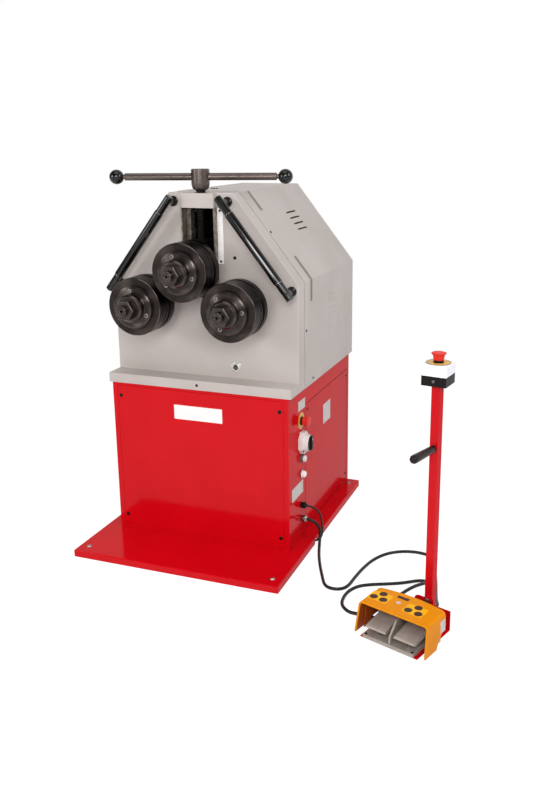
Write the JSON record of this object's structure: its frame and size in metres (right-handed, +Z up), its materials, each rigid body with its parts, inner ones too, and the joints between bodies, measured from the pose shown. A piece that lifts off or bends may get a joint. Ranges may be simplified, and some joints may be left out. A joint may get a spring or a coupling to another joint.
{
  "type": "ring roller",
  "caption": "Floor-standing ring roller with keyed bending rollers, a T-handle screw for the top roller, a powered cabinet, and a separate foot pedal stand.",
  "frame": {"origin": "centre of the base plate's footprint, on the floor", "axes": "+Z up, +X to the right of an operator who faces the rollers, -Y towards the operator"},
  "size_m": [1.2932, 1.1131, 1.29],
  "materials": {
    "red_paint": "gloss",
    "grey_paint": "satin",
    "black_paint": "gloss",
    "yellow_paint": "gloss",
    "turned_steel": "satin",
    "dark_steel": "satin",
    "black_oxide": "satin",
    "zinc_steel": "satin",
    "bronze": "satin",
    "black_plastic": "satin",
    "red_plastic": "gloss",
    "grey_plastic": "satin",
    "white_plastic": "satin",
    "label_plate": "satin",
    "casting": "satin",
    "cable": "matte"
  },
  "bodies": {
    "machine": {"base_plate": "red_paint", "cabinet": "red_paint", "front_panel": "red_paint", "side_door": "red_paint", "head_frame": "grey_paint", "head_cover": "grey_paint", "guide_block": "grey_paint", "screw_nut": "bronze", "guide_rails": "turned_steel", "position_scale": "turned_steel", "shaft_bearings": "turned_steel", "bearing_plate": "grey_paint", "gearbox": "grey_paint", "motor": "grey_paint", "control_board": "grey_plastic", "grab_tubes": "black_paint", "handle_ends": "black_paint", "sight_glass": "bronze", "label_plates": "label_plate", "fasteners": "zinc_steel", "switch_body": "grey_plastic", "control_bezels": "black_plastic", "cable_glands": "zinc_steel", "stand_base": "red_paint", "stand_post": "red_paint", "carry_grip": "black_plastic", "stop_box_base": "black_plastic", "stop_box_lid": "white_plastic", "pedal_base": "casting", "pedal_axle": "dark_steel", "pedal_hood": "yellow_paint", "thin_cable": "cable", "thick_cable": "cable", "pedal_cable": "cable"},
    "carriage": {"slide_carriage": "turned_steel", "carriage_bearings": "turned_steel"},
    "t_handle": {"top_screw": "dark_steel", "cross_bar": "black_oxide", "ball_knobs": "black_plastic"},
    "top_roller": {"top_shaft": "dark_steel", "top_roll": "black_oxide", "top_cover_disc": "black_oxide", "top_fasteners": "dark_steel"},
    "left_roller": {"left_shaft": "dark_steel", "left_roll": "black_oxide", "left_cover_disc": "black_oxide", "left_fasteners": "dark_steel", "left_gear": "dark_steel"},
    "right_roller": {"right_shaft": "dark_steel", "right_roll": "black_oxide", "right_cover_disc": "black_oxide", "right_fasteners": "dark_steel", "right_gear": "dark_steel"},
    "pinion": {"drive_pinion": "dark_steel"},
    "switch_knob": {"switch_knob": "black_plastic"},
    "push_button": {"push_button": "grey_plastic"},
    "side_stop": {"side_stop_button": "red_plastic"},
    "box_stop": {"box_stop_button": "red_plastic"},
    "left_pedal": {"left_pedal": "casting"},
    "right_pedal": {"right_pedal": "casting"}
  },
  "joints": [
    {"name": "carriage_slide", "type": "slide", "parent": "machine", "child": "carriage", "axis": [0, 0, 1], "range_m": [0, 0.096]},
    {"name": "t_handle_turn", "type": "hinge", "parent": "carriage", "child": "t_handle", "pos_m": [0, -0.148, 1.265], "axis": [0, 0, 1], "range_deg": [0, 5760]},
    {"name": "top_roller_spin", "type": "hinge", "parent": "carriage", "child": "top_roller", "pos_m": [0, -0.325, 0.975], "axis": [0, 1, 0], "continuous": true},
    {"name": "left_roller_spin", "type": "hinge", "parent": "machine", "child": "left_roller", "pos_m": [-0.166, -0.325, 0.857], "axis": [0, 1, 0], "continuous": true},
    {"name": "right_roller_spin", "type": "hinge", "parent": "machine", "child": "right_roller", "pos_m": [0.166, -0.325, 0.857], "axis": [0, 1, 0], "continuous": true},
    {"name": "pinion_spin", "type": "hinge", "parent": "machine", "child": "pinion", "pos_m": [0, 0.045, 0.82034], "axis": [0, 1, 0], "continuous": true},
    {"name": "main_switch_turn", "type": "hinge", "parent": "machine", "child": "switch_knob", "pos_m": [0.328, -0.106, 0.378], "axis": [1, 0, 0], "range_deg": [0, 90]},
    {"name": "push_button_press", "type": "slide", "parent": "machine", "child": "push_button", "axis": [-1, 0, 0], "range_m": [0, 0.004], "stiffness_N_per_m": 600, "springref_m": -0.001},
    {"name": "side_stop_press", "type": "slide", "parent": "machine", "child": "side_stop", "axis": [-1, 0, 0], "range_m": [0, 0.005], "stiffness_N_per_m": 1500, "springref_m": -0.002},
    {"name": "box_stop_press", "type": "slide", "parent": "machine", "child": "box_stop", "axis": [0, 0, -1], "range_m": [0, 0.005], "stiffness_N_per_m": 1500, "springref_m": -0.002},
    {"name": "left_pedal_press", "type": "hinge", "parent": "machine", "child": "left_pedal", "pos_m": [0.8, -0.537, 0.048], "axis": [0.9483, -0.3173, 0], "range_deg": [0, 10], "stiffness_Nm_per_rad": 6, "springref_deg": -8.59},
    {"name": "right_pedal_press", "type": "hinge", "parent": "machine", "child": "right_pedal", "pos_m": [0.8, -0.537, 0.048], "axis": [0.9483, -0.3173, 0], "range_deg": [0, 10], "stiffness_Nm_per_rad": 6, "springref_deg": -8.59}
  ],
  "couplings": [
    {"joint": "carriage_slide", "follows": "t_handle_turn", "m_per_rad": 0.00095493},
    {"joint": "right_roller_spin", "follows": "left_roller_spin", "ratio": 1},
    {"joint": "pinion_spin", "follows": "left_roller_spin", "ratio": -1.8333}
  ]
}
